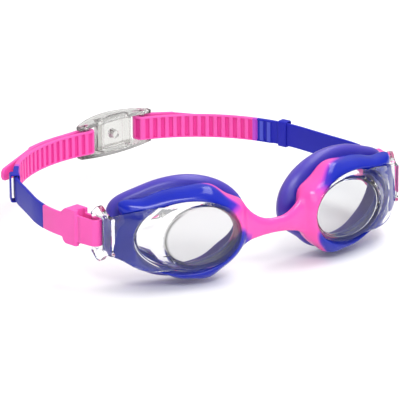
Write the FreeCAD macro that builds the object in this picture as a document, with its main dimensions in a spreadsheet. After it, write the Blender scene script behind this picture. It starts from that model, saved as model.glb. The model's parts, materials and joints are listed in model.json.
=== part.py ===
"""Junior swim goggles: two clear lenses in soft surrounds, a nose bridge and a two-part head strap.

Frame: +Z up, -Y the way the wearer looks, +X to the right of somebody facing the goggles.
The origin is midway between the two temples, at the height of the strap.
Left and right are as that person sees them, so "left" is the -X side.
"""
import FreeCAD, Part
import math
import os

import Sketcher

Vector = FreeCAD.Vector
Rotation = FreeCAD.Rotation

SIZES = {
    # place and wrap of each eye
    "eye_spacing": 70.6, "eye_front": -23.9, "eye_height": -1.0, "wrap_angle": 8.0,
    # lens cup: front window, then the wider ring that meets the surround
    "rim_half_width": 18.2, "rim_half_height": 14.2, "rim_rise": 0.2,
    "ring_half_width": 23.6, "ring_half_height": 15.6, "ring_offset": 4.2, "ring_depth": 6.0,
    "ring_yaw": 9.6, "cup_wall": 1.8, "cup_tail": 4.5, "cup_round_wide": 1.4, "cup_round_high": 0.5,
    # temple ear of the lens, with the slot and the bar for the strap
    "bar_x": 71.0, "bar_y": 2.5, "bar_radius": 1.5, "ear_yaw": 14.0, "ear_thickness": 2.6,
    "ear_neck": 10.5, "ear_neck_half": 8.2, "ear_peak": 3.0, "ear_peak_half": 10.9,
    "ear_tip_half": 8.6, "slot_near": 1.5, "slot_far": 5.4, "slot_half": 7.3,
    "wing_thickness": 1.8, "wing_half": 13.6,
    # blue surround shell
    "lap_half_width": 24.3, "lap_half_height": 16.3, "lap_depth": 4.6,
    "brow_half_width": 26.8, "brow_half_height": 19.2, "brow_offset": 5.0, "brow_depth": 7.4,
    "edge_half_width": 27.6, "edge_half_height": 19.8, "edge_offset": 5.4, "edge_depth": 10.4,
    "groove_half_width": 26.2, "groove_half_height": 18.4, "groove_depth": 12.8,
    "bore_half_width": 22.4, "bore_half_height": 14.4, "bore_margin": 8.0,
    # translucent sealing skirt
    "skirt_half_width": 30.9, "skirt_half_height": 21.6, "skirt_offset": 4.3, "skirt_depth": 16.4,
    "lip_half_width": 28.6, "lip_half_height": 19.4, "lip_depth": 20.6, "skirt_wall": 1.7,
    "seal_yaw": 1.9, "seal_roll": 4.0, "seal_inset_wide": 1.8, "seal_inset_high": 1.4,
    "skirt_inner_deeper": 1.3, "seal_open": 0.6,
    # nose bridge
    "bridge_front": -22.6, "bridge_height": -2.1, "bridge_half_height": 3.4, "bridge_half_depth": 1.9,
    # strap
    "strap_height": 10.5, "strap_thickness": 1.5, "rib_height": 0.7, "rib_width": 1.9,
    "rib_pitch": 3.7, "rib_tall": 9.2, "rib_root": 0.2,
    "tail_closing": 16.0, "tail_merge": 14.0, "tongue_round": 4.2,
    # strap end: loop round the temple bar and the block behind it
    "loop_height": 11.5, "loop_wall": 1.8, "running_gap": 0.08, "loop_pocket_half": 1.9,
    "block_start": 8.0, "block_end": 16.0, "block_half_thickness": 3.75, "block_half_height": 7.7,
    "block_chamfer": 2.2, "block_lap": 0.5, "block_step": 0.1, "pocket_into_block": 1.5, "end_stub": 13.5,
    # strap keepers
    "keeper_length": 5.0, "keeper_wall": 0.7, "keeper_gap": 0.3, "keeper_room": 2.0,
    # buckle
    "clip_bar_radius": 1.2, "clip_play": 0.9, "clip_length": 41.0, "clip_height": 15.0, "clip_depth": 7.0,
    "clip_rail": 1.8, "clip_wall": 1.5, "clip_cell": 16.0, "clip_bulge": 3.4, "boss_radius": 2.0,
    "clip_inner": -2.3, "clip_end": 1.9, "clip_hollow": 1.6, "clip_round": 0.6, "clip_face": 1.4,
    "clip_face_back": 4.4, "clip_joint": 0.5, "boss_start": 1.2, "boss_length": 4.6,
}

doc = FreeCAD.newDocument("swim_goggles")
sheet = doc.addObject("Spreadsheet::Sheet", "sizes")
for row, (alias, value) in enumerate(SIZES.items(), start=1):
    sheet.set(f"A{row}", alias)
    sheet.set(f"B{row}", str(value))
    sheet.setAlias(f"B{row}", alias)
doc.recompute()

NAMES = {-1: "left", 1: "right"}


def size(alias):
    return float(getattr(sheet, alias))


def bind(thing, **rules):
    """Ties properties of a document object to cells; a double underscore stands for a dot."""
    for prop, rule in rules.items():
        for alias in sorted(SIZES, key=len, reverse=True):
            rule = rule.replace(f"#{alias}#", f"sizes.{alias}")
        thing.setExpression(prop.replace("__", "."), rule)
    return thing


def cut(name, base, tool):
    result = doc.addObject("Part::Cut", name)
    result.Base = base
    result.Tool = tool
    return result


def fuse(name, pieces):
    result = doc.addObject("Part::MultiFuse", name)
    result.Shapes = pieces
    return result


# ---------------------------------------------------------------- eye pieces
# Each eye has its own frame: x across, y back from the window, z up. It is turned about Z by
# the wrap angle, and the outward side of x is given by the side, -1 or +1.

def place_eye(thing, side):
    """Puts a finished eye piece at its eye."""
    bind(thing, Placement__Base__x=f"{side} * #eye_spacing# / 2", Placement__Base__y="#eye_front#",
         Placement__Base__z="#eye_height#")
    bind(thing, Placement__Rotation__Angle="#wrap_angle#")
    thing.Placement = FreeCAD.Placement(Vector(), Rotation(Vector(0, 0, side), size("wrap_angle")))
    return thing


def oval(name, side, width, height, depth, offset="0", rise="0", yaw=0.0, roll=0.0):
    """An upright ellipse facing forward, from half sizes and a depth behind the window."""
    ring = doc.addObject("Part::Ellipse", name)
    upright = Rotation(Vector(1, 0, 0), 90)
    turned = Rotation(Vector(0, 0, 1), side * yaw) * Rotation(Vector(0, 1, 0), -side * roll)
    ring.Placement = FreeCAD.Placement(Vector(), turned * upright)
    bind(ring, MajorRadius=width, MinorRadius=height)
    bind(ring, Placement__Base__x=f"{side} * ({offset})", Placement__Base__y=depth,
         Placement__Base__z=rise)
    return ring


def loft(name, rings):
    solid = doc.addObject("Part::Loft", name)
    solid.Sections = rings
    solid.Solid = True
    solid.Ruled = False
    return solid


def cup_rings(name, side, inset):
    """The rim, the ring and the tail of the lens cup, all smaller by inset."""
    yaw = size("ring_yaw")
    return [
        oval(f"{name}_rim", side, f"#rim_half_width# - {inset}", f"#rim_half_height# - {inset}",
             "0" if inset == "0" else "#cup_wall#", rise="#rim_rise#"),
        oval(f"{name}_mid", side, f"#ring_half_width# - {inset} - #cup_round_wide#",
             f"#ring_half_height# - {inset} - #cup_round_high#",
             "#ring_depth# * 0.6", offset="#ring_offset# * 0.72", yaw=yaw * 0.8),
        oval(f"{name}_ring", side, f"#ring_half_width# - {inset}", f"#ring_half_height# - {inset}",
             "#ring_depth#", offset="#ring_offset#", yaw=yaw),
        oval(f"{name}_tail", side, f"#ring_half_width# - {inset}", f"#ring_half_height# - {inset}",
             "#ring_depth# + #cup_tail#" + ("" if inset == "0" else " + 1"), offset="#ring_offset#", yaw=yaw),
    ]


def closed_sketch(body, name, role, points):
    """A closed outline on one of the body's origin planes, through points taken in order."""
    plane = next(f for f in body.Origin.OriginFeatures if f.Role == role)
    sketch = body.newObject("Sketcher::SketchObject", name)
    sketch.AttachmentSupport = [(plane, "")]
    sketch.MapMode = "FlatFace"
    corners = [Vector(x, y, 0) for x, y in points]
    for start, end in zip(corners, corners[1:] + corners[:1]):
        sketch.addGeometry(Part.LineSegment(start, end), False)
    count = len(corners)
    for index in range(count):
        sketch.addConstraint(Sketcher.Constraint("Coincident", index, 2, (index + 1) % count, 1))
    return sketch


def pocket_through(body, name, profile):
    """Cuts a profile right through the body, both ways."""
    pocket = body.newObject("PartDesign::Pocket", name)
    pocket.Profile = profile
    pocket.Type = 1
    pocket.Midplane = True
    doc.recompute()
    return pocket


def ear(side):
    """Flat temple ear: x runs forward from the bar towards the cup, z is up."""
    name = f"{NAMES[side]}_ear"
    body = doc.addObject("PartDesign::Body", name)
    neck, neck_half = size("ear_neck"), size("ear_neck_half")
    peak, peak_half = size("ear_peak"), size("ear_peak_half")
    tip, tip_half = -size("bar_radius"), size("ear_tip_half")
    upper = [(neck, neck_half), (neck * 0.76, neck_half + 0.3), (peak + 1.6, peak_half),
             (peak - 1.4, peak_half), (tip, tip_half)]
    lower = [(x, -z) for x, z in reversed(upper)]
    plate = body.newObject("PartDesign::Pad", f"{name}_plate")
    plate.Profile = closed_sketch(body, f"{name}_outline", "XZ_Plane", upper + lower)
    plate.Midplane = True
    bind(plate, Length="#ear_thickness#")
    doc.recompute()
    near, far, half = size("slot_near"), size("slot_far"), size("slot_half")
    slot = [(near, half), (far, half - 1), (far, 1 - half), (near, -half)]
    pocket_through(body, f"{name}_slot", closed_sketch(body, f"{name}_opening", "XZ_Plane", slot))
    # the bar is round where the strap loop turns on it
    gap = [(-near - 1, half), (near, half), (near, -half), (-near - 1, -half)]
    pocket_through(body, f"{name}_bar_gap", closed_sketch(body, f"{name}_bar_window", "XZ_Plane", gap))
    bar = bind(doc.addObject("Part::Cylinder", f"{name}_bar"), Radius="#bar_radius#",
               Height="2 * #slot_half# + 0.6", Placement__Base__z="-#slot_half# - 0.3")
    return fuse(f"{name}_whole", [body, bar])


# Middle line of the blade from above, in the eye frame, before it meets the ear's neck.
WING_SPINE = [(5.0, 1.7), (15.0, 2.1), (23.0, 4.1), (30.0, 7.6)]
WING_STEPS = 8
WING_MARGIN = 3.0


def smooth_edge(points):
    """An edge through points, as a spline."""
    curve = Part.BSplineCurve()
    curve.interpolate(points)
    return curve.toShape()


def joined_face(first, second):
    """A face between two edges that run opposite ways, closed by straight ends."""
    gap = Part.LineSegment(first.Vertexes[-1].Point, second.Vertexes[0].Point).toShape()
    close = Part.LineSegment(second.Vertexes[-1].Point, first.Vertexes[0].Point).toShape()
    return Part.Face(Part.Wire([first, gap, second, close]))


def wing(side):
    """Curved clear blade over the outer end of the surround, from the cup to the ear."""
    name = f"{NAMES[side]}_wing"
    bar_across, bar_back, turn = ear_pose()
    neck_across = bar_across - size("ear_neck") * math.sin(turn)
    neck_back = bar_back - size("ear_neck") * math.cos(turn)
    spine = Part.BSplineCurve()
    spine.interpolate([Vector(x, y, 0) for x, y in WING_SPINE + [(neck_across, neck_back)]])
    half_thick = size("wing_thickness") / 2
    half = size("wing_half")
    bottom = -half - WING_MARGIN
    front, back = [], []
    for index in range(WING_STEPS + 1):
        at = spine.FirstParameter + (spine.LastParameter - spine.FirstParameter) * index / WING_STEPS
        point = spine.value(at)
        along = spine.tangent(at)[0]
        normal = Vector(-along.y, along.x, 0)
        for edge, shift in ((front, -half_thick), (back, half_thick)):
            place = point + normal * shift
            edge.append(Vector(side * place.x, place.y, bottom))
    plan = joined_face(smooth_edge(front), smooth_edge(back[::-1]))
    blade = plan.extrude(Vector(0, 0, 2 * (half + WING_MARGIN)))
    # teardrop seen from the front: as tall as the window, narrowing to the ear's neck
    neck_half = size("ear_neck_half")
    corners = [(4.0, half), (16.0, half - 1.0), (27.0, neck_half + 0.9), (neck_across + 1.5, neck_half)]
    top = smooth_edge([Vector(side * across, 0, high) for across, high in corners])
    low = smooth_edge([Vector(side * across, 0, -high) for across, high in reversed(corners)])
    drop = joined_face(top, low).extrude(Vector(0, 30, 0))
    drop.translate(Vector(0, -5, 0))
    thing = doc.addObject("Part::Feature", name)
    thing.Shape = blade.common(drop)
    return thing


def ear_pose():
    """The bar's place in the eye frame, and the ear's turn from straight back."""
    wrap = math.radians(size("wrap_angle"))
    across = size("bar_x") - size("eye_spacing") / 2
    back = size("bar_y") - size("eye_front")
    turn = math.radians(size("ear_yaw")) + wrap
    return (across * math.cos(wrap) + back * math.sin(wrap),
            back * math.cos(wrap) - across * math.sin(wrap), turn)


def lens(side):
    """Clear lens in one moulding: cup, wing and temple ear. The cup's blank and the wing are kept
    for trimming the surround."""
    name = f"{NAMES[side]}_lens"
    outside = loft(f"{name}_outside", cup_rings(f"{name}_out", side, "0"))
    hollow = loft(f"{name}_hollow", cup_rings(f"{name}_in", side, "#cup_wall#"))
    arm = ear(side)
    blade = wing(side)
    bar_across, bar_back, turn = ear_pose()
    # the ear's own x points forward along it
    angle = -90 - side * math.degrees(turn)
    arm.Placement = FreeCAD.Placement(Vector(side * bar_across, bar_back, -size("eye_height")),
                                      Rotation(Vector(0, 0, 1), angle))
    whole = cut(name, fuse(f"{name}_solid", [outside, blade, arm]), hollow)
    whole.Label = name
    return place_eye(whole, side), outside, blade


def shell_rings(name, side):
    yaw = size("ring_yaw")
    return [
        oval(f"{name}_lap", side, "#lap_half_width#", "#lap_half_height#", "#lap_depth#",
             offset="#ring_offset#", yaw=yaw),
        oval(f"{name}_brow", side, "#brow_half_width#", "#brow_half_height#", "#brow_depth#",
             offset="#brow_offset#", yaw=yaw),
        oval(f"{name}_edge", side, "#edge_half_width#", "#edge_half_height#", "#edge_depth#",
             offset="#edge_offset#", yaw=yaw),
        oval(f"{name}_groove", side, "#groove_half_width#", "#groove_half_height#", "#groove_depth#",
             offset="#edge_offset#", yaw=yaw),
    ]


def shell(side, cup, blade):
    """Soft surround that grips the lens cup, shaped to lie under the wing."""
    name = f"{NAMES[side]}_shell"
    body = loft(f"{name}_body", shell_rings(name, side))
    bore = loft(f"{name}_bore", [
        oval(f"{name}_bore_front", side, "#bore_half_width#", "#bore_half_height#", "0",
             offset="#ring_offset#", yaw=size("ring_yaw")),
        oval(f"{name}_bore_back", side, "#bore_half_width#", "#bore_half_height#",
             "#groove_depth# + #bore_margin#", offset="#ring_offset#", yaw=size("ring_yaw"))])
    tools = fuse(f"{name}_tools", [bore, cup, blade])
    whole = cut(name, body, tools)
    whole.Label = name
    return place_eye(whole, side)


def seal(side):
    """Thin flared skirt that lies on the face, joined to the back of the shell."""
    name = f"{NAMES[side]}_seal"
    yaw, roll = size("seal_yaw"), size("seal_roll")
    solids = []
    for kind, inset, deeper, reach in (("out", "0", "0", "0"),
                                       ("in", "#skirt_wall#", "#skirt_inner_deeper#", "#seal_open#")):
        root = oval(f"{name}_{kind}_root", side, f"#groove_half_width# - #seal_inset_wide# * ({inset})",
                    f"#groove_half_height# - #seal_inset_high# * ({inset})", f"#groove_depth# - {reach}",
                    offset="#edge_offset#", yaw=size("ring_yaw"))
        flare = oval(f"{name}_{kind}_flare", side, f"#skirt_half_width# - {inset}",
                     f"#skirt_half_height# - {inset}", f"#skirt_depth# + {deeper}",
                     offset="#skirt_offset#", yaw=yaw, roll=roll)
        lip = oval(f"{name}_{kind}_lip", side, f"#lip_half_width# - {inset}", f"#lip_half_height# - {inset}",
                   f"#lip_depth# + {reach}", offset="#skirt_offset#", yaw=yaw, roll=roll)
        solids.append(loft(f"{name}_{kind}", [root, flare, lip]))
    whole = cut(name, solids[0], solids[1])
    whole.Label = name
    return place_eye(whole, side)


# ---------------------------------------------------------------- strap routes
# A route is a start point, a heading in degrees and arcs (length, turn), so that every piece
# that follows it is made of true arcs and a keeper can slide on it.

def strap_start(side, yaw):
    """Where the strap leaves the block, and its heading."""
    turn = math.radians(yaw)
    along = Vector(side * math.sin(turn), math.cos(turn), 0)
    outward = Vector(side * math.cos(turn), -math.sin(turn), 0)
    bar = Vector(side * size("bar_x"), size("bar_y"), 0)
    flush = size("block_half_thickness") - size("strap_thickness") / 2
    start = bar + along * size("block_end") + outward * flush
    return start, 90 - side * yaw


def walk(start, heading, arcs):
    """Spans (start point, heading, length, turn, distance from the start)."""
    spans = []
    point, angle, run = start, math.radians(heading), 0.0
    for length, turn in arcs:
        spans.append((point, angle, length, math.radians(turn), run))
        point, angle = pose_in_span(spans[-1], length)
        run += length
    return spans


def pose_in_span(span, along):
    point, angle, length, turn, _ = span
    if abs(turn) < 1e-6:
        return point + Vector(math.cos(angle), math.sin(angle), 0) * along, angle
    radius = length / turn
    centre = point + Vector(-math.sin(angle), math.cos(angle), 0) * radius
    new = angle + turn * along / length
    return centre + Vector(math.sin(new), -math.cos(new), 0) * radius, new


def pose_at(spans, run):
    for span in spans:
        if run <= span[4] + span[2] + 1e-6:
            return pose_in_span(span, run - span[4])
    return pose_in_span(spans[-1], spans[-1][2])


def side_edges(spans, first, last, shift):
    """Edges along a route between two distances, shifted to the left of its heading."""
    edges = []
    for span in spans:
        low = max(first, span[4]) - span[4]
        high = min(last, span[4] + span[2]) - span[4]
        if high - low < 1e-4:
            continue
        points = []
        for along in (low, (low + high) / 2, high):
            point, angle = pose_in_span(span, along)
            points.append(point + Vector(-math.sin(angle), math.cos(angle), 0) * shift)
        if abs(span[3]) < 1e-6:
            edges.append(Part.LineSegment(points[0], points[2]).toShape())
        else:
            edges.append(Part.Arc(*points).toShape())
    return edges


def ribbon(spans, first, last, left, right, height):
    """Upright solid along a route, between two side shifts."""
    near = side_edges(spans, first, last, left)
    far = side_edges(spans, first, last, right)
    start = Part.LineSegment(near[0].Vertexes[0].Point, far[0].Vertexes[0].Point).toShape()
    end = Part.LineSegment(near[-1].Vertexes[-1].Point, far[-1].Vertexes[-1].Point).toShape()
    wire = Part.Wire(Part.__sortEdges__(near + far + [start, end]))
    solid = Part.Face(wire).extrude(Vector(0, 0, height))
    solid.translate(Vector(0, 0, -height / 2))
    return solid


def rib(spans, run, face):
    """One upright rib, on the left face of a route where face is +1 and on its right where -1."""
    point, angle = pose_at(spans, run)
    root = size("strap_thickness") / 2 - size("rib_root")
    box = Part.makeBox(size("rib_width"), size("rib_height") + size("rib_root"), size("rib_tall"),
                       Vector(-size("rib_width") / 2, root, -size("rib_tall") / 2))
    if face < 0:
        box.rotate(Vector(), Vector(0, 0, 1), 180)
    box.rotate(Vector(), Vector(0, 0, 1), math.degrees(angle))
    box.translate(point)
    return box


def feature(name, shape):
    thing = doc.addObject("Part::Feature", name)
    thing.Shape = shape.removeSplitter()
    thing.Label = name
    return thing


# Resting shape of each half of the strap, front to back.
STRAPS = {
    -1: {"yaw": 16.0, "arcs": [(26, -27), (17, 2), (46.7, -46.9), (36.1, -32.2)],
         "keeper": 54.4, "join": 67.0, "tail": 54.0, "tail_ribs": 34.0, "tail_free": 24.0},
    1: {"yaw": 4.0, "arcs": [(24, 20.1), (24, -2), (59.4, 50.5), (17.9, 15.2)],
        "keeper": 58.3, "join": 72.6, "tail": 37.0, "tail_ribs": 14.0, "tail_free": 10.0},
}


def strap_end(side, spans):
    """Soft end moulding: a loop round the temple bar, a thick block and a short stub."""
    name = f"{NAMES[side]}_strap_end"
    yaw = STRAPS[side]["yaw"]
    hole = size("bar_radius") + size("running_gap")
    outer = hole + size("loop_wall")
    front, back = size("block_start"), size("block_end")
    half = size("block_half_thickness")
    tall = size("loop_height")
    pocket = size("loop_pocket_half")
    # outside of the loop: half a turn round the bar, then out to the block
    corner = front + size("block_lap")
    shoulder = half - size("block_step")
    deep = front + size("pocket_into_block")
    loop_wire = Part.Wire([
        Part.Arc(Vector(0, outer, 0), Vector(-outer, 0, 0), Vector(0, -outer, 0)).toShape(),
        Part.LineSegment(Vector(0, -outer, 0), Vector(corner, -shoulder, 0)).toShape(),
        Part.LineSegment(Vector(corner, -shoulder, 0), Vector(corner, shoulder, 0)).toShape(),
        Part.LineSegment(Vector(corner, shoulder, 0), Vector(0, outer, 0)).toShape()])
    loop = Part.Face(loop_wire).extrude(Vector(0, 0, tall))
    loop.translate(Vector(0, 0, -tall / 2))
    block = Part.makeBox(back - front, 2 * half, 2 * size("block_half_height"),
                         Vector(front, -half, -size("block_half_height")))
    long_edges = [e for e in block.Edges
                  if abs(e.tangentAt(e.FirstParameter).y) > 0.9 and e.CenterOfMass.x > (front + back) / 2]
    block = block.makeChamfer(size("block_chamfer"), long_edges)
    window = Part.Wire([
        Part.Arc(Vector(0, hole, 0), Vector(-hole, 0, 0), Vector(0, -hole, 0)).toShape(),
        Part.LineSegment(Vector(0, -hole, 0), Vector(deep, -pocket, 0)).toShape(),
        Part.LineSegment(Vector(deep, -pocket, 0), Vector(deep, pocket, 0)).toShape(),
        Part.LineSegment(Vector(deep, pocket, 0), Vector(0, hole, 0)).toShape()])
    opening = Part.Face(window).extrude(Vector(0, 0, tall + 2))
    opening.translate(Vector(0, 0, -tall / 2 - 1))
    solid = loop.fuse(block).cut(opening)
    solid.rotate(Vector(), Vector(0, 0, 1), 90 - side * yaw)
    solid.translate(Vector(side * size("bar_x"), size("bar_y"), 0))
    flat = size("strap_thickness") / 2
    stub = ribbon(spans, 0.0, size("end_stub"), flat, -flat, size("strap_height"))
    return feature(name, solid.fuse(stub))


def strap_band(side, spans):
    """Plain middle stretch, with two ribs just before the ladder."""
    flat = size("strap_thickness") / 2
    join = STRAPS[side]["join"]
    solid = ribbon(spans, size("end_stub"), join, flat, -flat, size("strap_height"))
    for step in (1, 2):
        solid = solid.fuse(rib(spans, join - (step - 0.4) * size("rib_pitch"), side))
    return feature(f"{NAMES[side]}_strap_band", solid)


def strap_ladder(side, spans):
    """Ribbed rear stretch: to the buckle bar, round it and back along the outside."""
    data = STRAPS[side]
    total = spans[-1][4] + spans[-1][2]
    flat = size("strap_thickness") / 2
    height = size("strap_height")
    solid = ribbon(spans, data["join"], total, flat, -flat, height)
    count = int((total - data["join"]) / size("rib_pitch"))
    for step in range(count):
        solid = solid.fuse(rib(spans, data["join"] + (step + 0.55) * size("rib_pitch"), side))
    tail = tail_route(side, spans)
    tail_length = tail[-1][4] + tail[-1][2]
    tip = pose_in_span(tail[-1], tail[-1][2])[0]
    loose = ribbon(tail, 0.0, tail_length, flat, -flat, height)
    ends = [e for e in loose.Edges if (e.CenterOfMass - tip).Length < height / 2 + 0.1
            and abs(e.CenterOfMass.z) > height / 2 - 0.01 and e.Length < 2 * flat + 0.01]
    solid = solid.fuse(loose.makeFillet(size("tongue_round"), ends))
    for step in range(int((tail[0][2] + data["tail_ribs"]) / size("rib_pitch"))):
        solid = solid.fuse(rib(tail, (step + 0.6) * size("rib_pitch"), side))
    return feature(f"{NAMES[side]}_strap_ladder", solid)


def clip_radius(side):
    """Radius of the strap's middle line round a buckle bar: a close turn left, a loose one right."""
    gap = size("running_gap") if side < 0 else size("clip_play")
    return size("clip_bar_radius") + gap + size("strap_thickness") / 2


def clip_bar(side, spans):
    """Centre of the buckle bar at the end of a strap: on the strap's outer side."""
    end, angle = pose_in_span(spans[-1], spans[-1][2])
    return end + Vector(math.sin(angle), -math.cos(angle), 0) * (side * clip_radius(side))


def tail_route(side, spans):
    """Half a turn round the buckle bar, then back outside the strap, springing off at the end."""
    end, angle = pose_in_span(spans[-1], spans[-1][2])
    data = STRAPS[side]
    last_length, last_turn = data["arcs"][-1]
    bend = abs(last_turn) / last_length
    closing = size("tail_closing")
    merge = size("tail_merge")
    follow = data["tail"] - merge - data["tail_free"]
    arcs = [(math.radians(180 + closing) * clip_radius(side), -side * (180 + closing)),
            (merge, -side * (merge * bend - closing)),
            (follow, -side * follow * bend),
            (data["tail_free"], 0.0)]
    return walk(end, math.degrees(angle), arcs)


def keeper(side, spans):
    """Sleeve on the strap with room for the tail outside it."""
    name = f"{NAMES[side]}_keeper"
    body = doc.addObject("PartDesign::Body", name)
    body.Label = name
    gap, wall, room = size("keeper_gap"), size("keeper_wall"), size("keeper_room")
    flat = size("strap_thickness") / 2
    high = size("strap_height") / 2 + gap
    inner, outer = -(flat + gap), flat + gap + room
    if side > 0:
        inner, outer = -outer, -inner

    def outline(grow):
        """Corners of the section, grown by a margin on every side."""
        low, top, tall = inner - grow, outer + grow, high + grow
        return [(low, -tall), (top, -tall), (top, tall), (low, tall)]

    pad = body.newObject("PartDesign::Pad", f"{name}_block")
    pad.Profile = closed_sketch(body, f"{name}_outside", "YZ_Plane", outline(wall))
    pad.Midplane = True
    bind(pad, Length="#keeper_length#")
    doc.recompute()
    pocket_through(body, f"{name}_opening", closed_sketch(body, f"{name}_inside", "YZ_Plane", outline(0.0)))
    point, angle = pose_at(spans, STRAPS[side]["keeper"])
    body.Placement = FreeCAD.Placement(point, Rotation(Vector(0, 0, 1), math.degrees(angle)))
    return body


def buckle(left_bar, right_bar):
    """Clear frame with a bar at each end, a walled cell between them and a bowed outer face."""
    centre = (left_bar + right_bar) * 0.5
    reach = (right_bar - left_bar).Length / 2
    angle = math.degrees(math.atan2(right_bar.y - left_bar.y, right_bar.x - left_bar.x))
    half, height, depth = size("clip_length") / 2, size("clip_height"), size("clip_depth")
    inner, end, hollow = size("clip_inner"), size("clip_end"), size("clip_hollow")
    wall, cell, joint = size("clip_wall"), size("clip_cell"), size("clip_joint")
    # plan of a rail: the outer side bows out, the inner side is slightly hollow
    outer_bow = Part.Arc(Vector(-half, end, 0), Vector(0, end + size("clip_bulge"), 0), Vector(half, end, 0))
    corner = inner + hollow
    inner_bow = Part.Arc(Vector(half, corner, 0), Vector(0, inner, 0), Vector(-half, corner, 0))
    block = joined_face(outer_bow.toShape(), inner_bow.toShape()).extrude(Vector(0, 0, height))
    block.translate(Vector(0, 0, -height / 2))
    rims = [e for e in block.Edges if abs(e.CenterOfMass.z) > height / 2 - 0.01]
    block = block.makeFillet(size("clip_round"), rims)
    inside = height - 2 * size("clip_rail")
    middle = Part.makeBox(2 * half + 2, 4 * depth, inside, Vector(-half - 1, -2 * depth, -inside / 2))
    solid = block.cut(middle)
    tall = inside + 2 * joint
    foot = -tall / 2
    for sign in (-1, 1):
        bar = Part.makeCylinder(size("clip_bar_radius"), tall, Vector(sign * reach, 0, foot))
        side_wall = Part.makeBox(wall, depth - hollow, tall,
                                 Vector(sign * cell / 2 - wall / 2, inner + joint, foot))
        solid = solid.fuse(bar).fuse(side_wall)
    boss = Part.makeCylinder(size("boss_radius"), size("boss_length"),
                             Vector(0, inner + size("boss_start"), 0), Vector(0, 1, 0))
    face = Part.makeBox(cell, size("clip_face"), tall,
                        Vector(-cell / 2, inner + size("clip_face_back"), foot))
    solid = solid.fuse(boss).fuse(face)
    solid.rotate(Vector(), Vector(0, 0, 1), angle)
    solid.translate(centre)
    return feature("buckle", solid)


# Stations of the nose bridge: across, half height, half depth, and how far back of its front.
BRIDGE_SPREAD = [(0.0, 3.4, 1.9, 0.0), (6.0, 4.4, 2.0, 0.4), (11.0, 7.0, 2.2, 1.2), (15.0, 11.0, 2.4, 2.6)]


def nose_bridge(blanks):
    """Soft web between the two shells, thin over the nose and spreading to each eye."""
    stations = [(-row[0], *row[1:]) for row in reversed(BRIDGE_SPREAD[1:])] + BRIDGE_SPREAD
    rings = []
    for index, (across, tall, thick, back) in enumerate(stations):
        ring = doc.addObject("Part::Ellipse", f"bridge_ring_{index}")
        # long axis upright, facing along X
        ring.Placement = FreeCAD.Placement(Vector(across, 0, 0), Rotation(Vector(0, 1, 0), -90))
        bind(ring, MajorRadius=f"#bridge_half_height# + {tall - BRIDGE_SPREAD[0][1]}",
             MinorRadius=f"#bridge_half_depth# + {thick - BRIDGE_SPREAD[0][2]}",
             Placement__Base__y=f"#bridge_front# + {back}", Placement__Base__z="#bridge_height#")
        rings.append(ring)
    whole = cut("nose_bridge", loft("bridge_web", rings), fuse("bridge_tools", blanks))
    whole.Label = "nose_bridge"
    return whole


def placed_blank(name, source, like):
    """A copy of an eye piece's solid before its bore was cut, where the finished piece is."""
    thing = doc.addObject("Part::Feature", name)
    thing.Shape = doc.getObject(source).Shape.copy()
    thing.Placement = doc.getObject(like).Placement
    return thing


nodes = []
for side in (-1, 1):
    eye_lens, cup, blade = lens(side)
    nodes += [eye_lens, shell(side, cup, blade), seal(side)]
doc.recompute()

# the bridge is trimmed by the whole of each surround and skirt, without their bores
blanks = []
for name in NAMES.values():
    blanks.append(placed_blank(f"{name}_shell_blank", f"{name}_shell_body", f"{name}_shell"))
    blanks.append(placed_blank(f"{name}_seal_blank", f"{name}_seal_out", f"{name}_seal"))
nodes.append(nose_bridge(blanks))

bars = {}
routes = {}
for side in (-1, 1):
    start, heading = strap_start(side, STRAPS[side]["yaw"])
    routes[side] = walk(start, heading, STRAPS[side]["arcs"])
    bars[side] = clip_bar(side, routes[side])
    for make in (strap_end, strap_band, strap_ladder, keeper):
        nodes.append(make(side, routes[side]))
nodes.append(buckle(bars[-1], bars[1]))
doc.recompute()

for thing in doc.Objects:
    if "Invalid" in thing.State or "Error" in thing.State:
        raise RuntimeError(f"{thing.Name} failed: {thing.State}")
for node in nodes:
    if node.Shape.isNull() or not node.Shape.isValid():
        raise RuntimeError(f"{node.Label} has no valid shape")
os.makedirs("parts", exist_ok=True)
for node in nodes:
    node.Shape.exportStep(f"parts/{node.Label}.step")
    print(f"{node.Label:20s} solids {len(node.Shape.Solids)} volume {node.Shape.Volume:8.1f}")
for side in (-1, 1):
    # the keeper slides on the arc that it sits on
    start, heading, length, turn, _ = routes[side][2]
    radius = length / turn
    centre = start + Vector(-math.sin(heading), math.cos(heading), 0) * radius
    print(f"{NAMES[side]} clip bar {bars[side].x:.3f} {bars[side].y:.3f}  "
          f"arc centre {centre.x:.3f} {centre.y:.3f} radius {radius:.2f}")
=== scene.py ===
import json
import math

import bmesh
import bpy
import numpy as np
from mathutils import Matrix, Quaternion, Vector


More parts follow.
